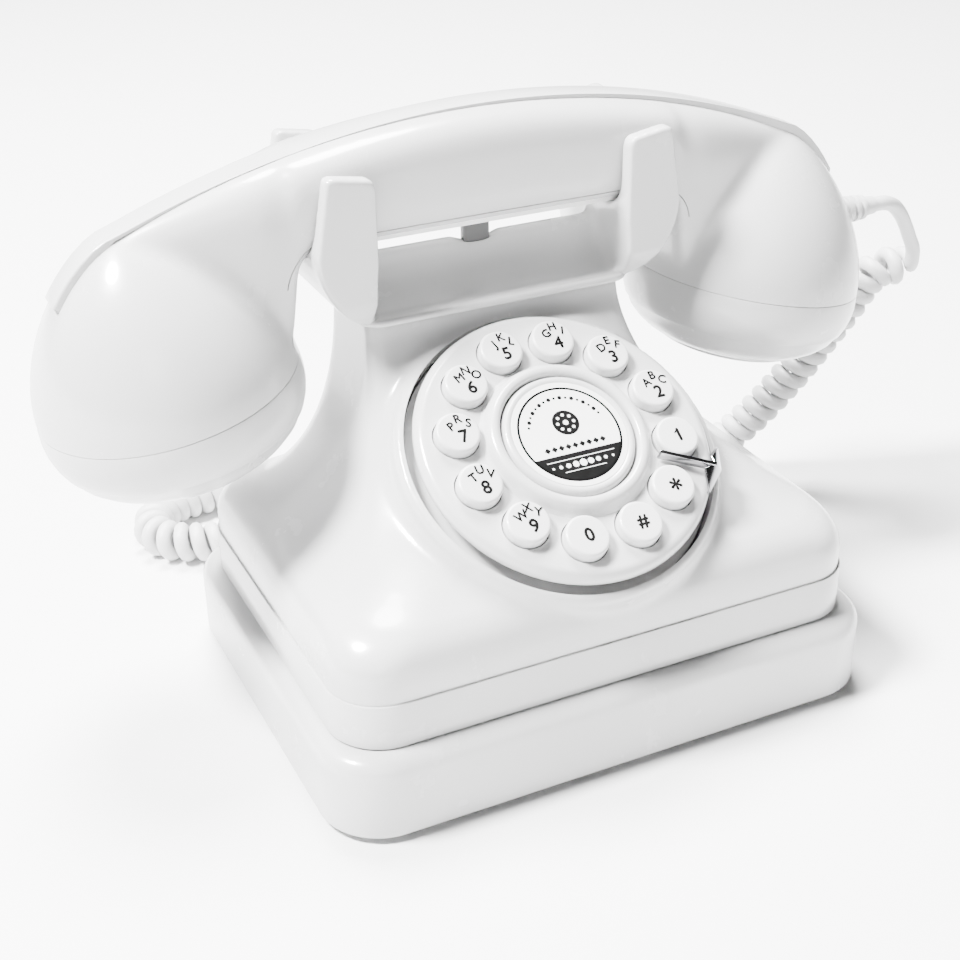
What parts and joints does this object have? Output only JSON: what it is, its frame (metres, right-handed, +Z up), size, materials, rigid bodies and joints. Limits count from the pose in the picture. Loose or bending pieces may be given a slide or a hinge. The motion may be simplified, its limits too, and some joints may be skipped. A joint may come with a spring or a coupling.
{
  "type": "retro desk telephone",
  "caption": "White desk telephone in a 1930s style: stepped base, waisted neck, forked cradle, bulbous handset, round dial plate with push keys and a curly cord.",
  "frame": {"origin": "on the standing surface, under the middle of the base tray", "axes": "+X to the caller's right along the handset, +Y to the back, +Z up"},
  "size_m": [0.2721, 0.1799, 0.1497],
  "materials": {
    "shell": "gloss white moulded plastic",
    "keys": "gloss white, black printed digits and letter groups",
    "chrome": "polished",
    "steel": "zinc plated",
    "rubber": "matt black",
    "mat": "silicone, matt grey",
    "cord": "satin white flexible sleeve",
    "print": "printed disc, black ring and ornament on white",
    "board": "green circuit board",
    "dark": "black moulded plastic",
    "grey": "dark grey moulded plastic",
    "ballast": "plain"
  },
  "bodies": {
    "base": {"base_tray": "shell", "upper_housing": "shell", "cradle": "shell", "rubber_feet": "rubber", "base_screws": "steel", "ballast_plate": "ballast", "main_board": "board", "board_screws": "steel", "ringer_speaker": "dark", "line_jack": "grey", "base_strain_relief": "shell", "dial_bezel": "shell", "dial_plate": "shell", "hub_ring": "shell", "hub_cap": "shell", "hub_label": "print", "finger_stop": "chrome", "keypad_board": "board", "key_mat": "mat", "dial_screws": "steel", "hook_switch": "dark", "hook_spring": "steel", "cord_lead": "cord", "cord_coil": "cord", "cord_tail": "cord"},
    "handset": {"handset_shell": "shell", "handset_inner_cover": "shell", "handset_spine": "shell", "mouthpiece_cap": "shell", "earpiece_cap": "shell", "microphone": "dark", "receiver": "dark", "handset_weight": "ballast", "handset_screws": "steel", "handset_strain_relief": "shell"},
    "plunger": {"hook_plunger": "grey"},
    "key_1": {"key_1": "keys"},
    "key_2": {"key_2": "keys"},
    "key_3": {"key_3": "keys"},
    "key_4": {"key_4": "keys"},
    "key_5": {"key_5": "keys"},
    "key_6": {"key_6": "keys"},
    "key_7": {"key_7": "keys"},
    "key_8": {"key_8": "keys"},
    "key_9": {"key_9": "keys"},
    "key_0": {"key_0": "keys"},
    "key_hash": {"key_hash": "keys"},
    "key_star": {"key_star": "keys"}
  },
  "joints": [
    {"name": "handset_lift", "type": "slide", "parent": "base", "child": "handset", "axis": [0, 0, 1], "range_m": [0, 0.09]},
    {"name": "hook_rise", "type": "slide", "parent": "base", "child": "plunger", "axis": [0, 0, 1], "range_m": [0, 0.004], "deforming": ["hook_spring"]},
    {"name": "key_1_press", "type": "slide", "parent": "base", "child": "key_1", "axis": [0, 0.549, -0.8358], "range_m": [0, 0.0015], "stiffness_N_per_m": 400},
    {"name": "key_2_press", "type": "slide", "parent": "base", "child": "key_2", "axis": [0, 0.549, -0.8358], "range_m": [0, 0.0015], "stiffness_N_per_m": 400},
    {"name": "key_3_press", "type": "slide", "parent": "base", "child": "key_3", "axis": [0, 0.549, -0.8358], "range_m": [0, 0.0015], "stiffness_N_per_m": 400},
    {"name": "key_4_press", "type": "slide", "parent": "base", "child": "key_4", "axis": [0, 0.549, -0.8358], "range_m": [0, 0.0015], "stiffness_N_per_m": 400},
    {"name": "key_5_press", "type": "slide", "parent": "base", "child": "key_5", "axis": [0, 0.549, -0.8358], "range_m": [0, 0.0015], "stiffness_N_per_m": 400},
    {"name": "key_6_press", "type": "slide", "parent": "base", "child": "key_6", "axis": [0, 0.549, -0.8358], "range_m": [0, 0.0015], "stiffness_N_per_m": 400},
    {"name": "key_7_press", "type": "slide", "parent": "base", "child": "key_7", "axis": [0, 0.549, -0.8358], "range_m": [0, 0.0015], "stiffness_N_per_m": 400},
    {"name": "key_8_press", "type": "slide", "parent": "base", "child": "key_8", "axis": [0, 0.549, -0.8358], "range_m": [0, 0.0015], "stiffness_N_per_m": 400},
    {"name": "key_9_press", "type": "slide", "parent": "base", "child": "key_9", "axis": [0, 0.549, -0.8358], "range_m": [0, 0.0015], "stiffness_N_per_m": 400},
    {"name": "key_0_press", "type": "slide", "parent": "base", "child": "key_0", "axis": [0, 0.549, -0.8358], "range_m": [0, 0.0015], "stiffness_N_per_m": 400},
    {"name": "key_hash_press", "type": "slide", "parent": "base", "child": "key_hash", "axis": [0, 0.549, -0.8358], "range_m": [0, 0.0015], "stiffness_N_per_m": 400},
    {"name": "key_star_press", "type": "slide", "parent": "base", "child": "key_star", "axis": [0, 0.549, -0.8358], "range_m": [0, 0.0015], "stiffness_N_per_m": 400}
  ],
  "couplings": [
    {"joint": "hook_rise", "follows": "handset_lift", "ratio": 0.0444}
  ]
}
